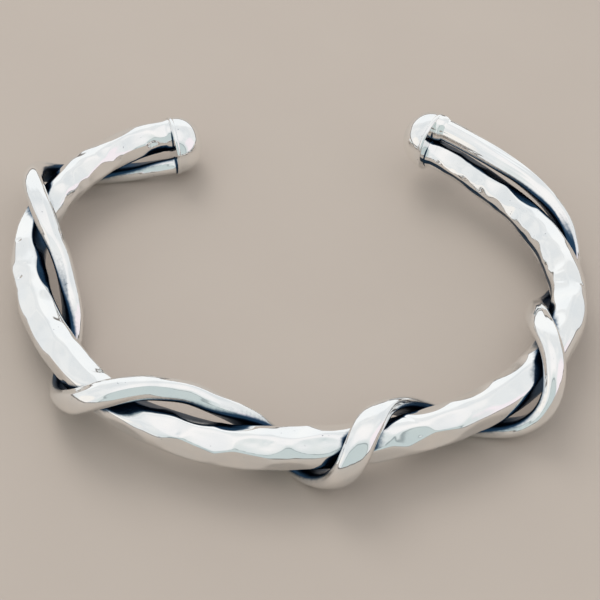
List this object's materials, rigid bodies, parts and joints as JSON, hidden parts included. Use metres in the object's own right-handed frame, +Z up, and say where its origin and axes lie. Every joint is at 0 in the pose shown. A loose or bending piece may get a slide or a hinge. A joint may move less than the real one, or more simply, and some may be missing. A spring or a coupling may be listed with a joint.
{
  "type": "torc bangle",
  "caption": "Open oval wrist torc: a hammered round bar wound loosely with a smooth oval wire, both closed by domed end caps.",
  "frame": {"origin": "on the plane that the torc rests on, under the middle of its bounding box", "axes": "+X across the wrist from the left cap's side to the right cap's side, +Y from the front of the cuff towards the gap between the caps, +Z up out of the surface that it lies on"},
  "size_m": [0.0698, 0.057, 0.0103],
  "materials": {
    "hammered_silver": "hammered sterling silver with a bright polish, dark only in the crevices",
    "polished_wire": "smooth polished sterling silver with faint draw lines",
    "polished_cap": "smooth mirror-polished sterling silver"
  },
  "bodies": {
    "root": {"hammered_bar": "hammered_silver", "wrap_wire": "polished_wire", "end_cap_left": "polished_cap", "end_cap_right": "polished_cap"}
  },
  "joints": []
}
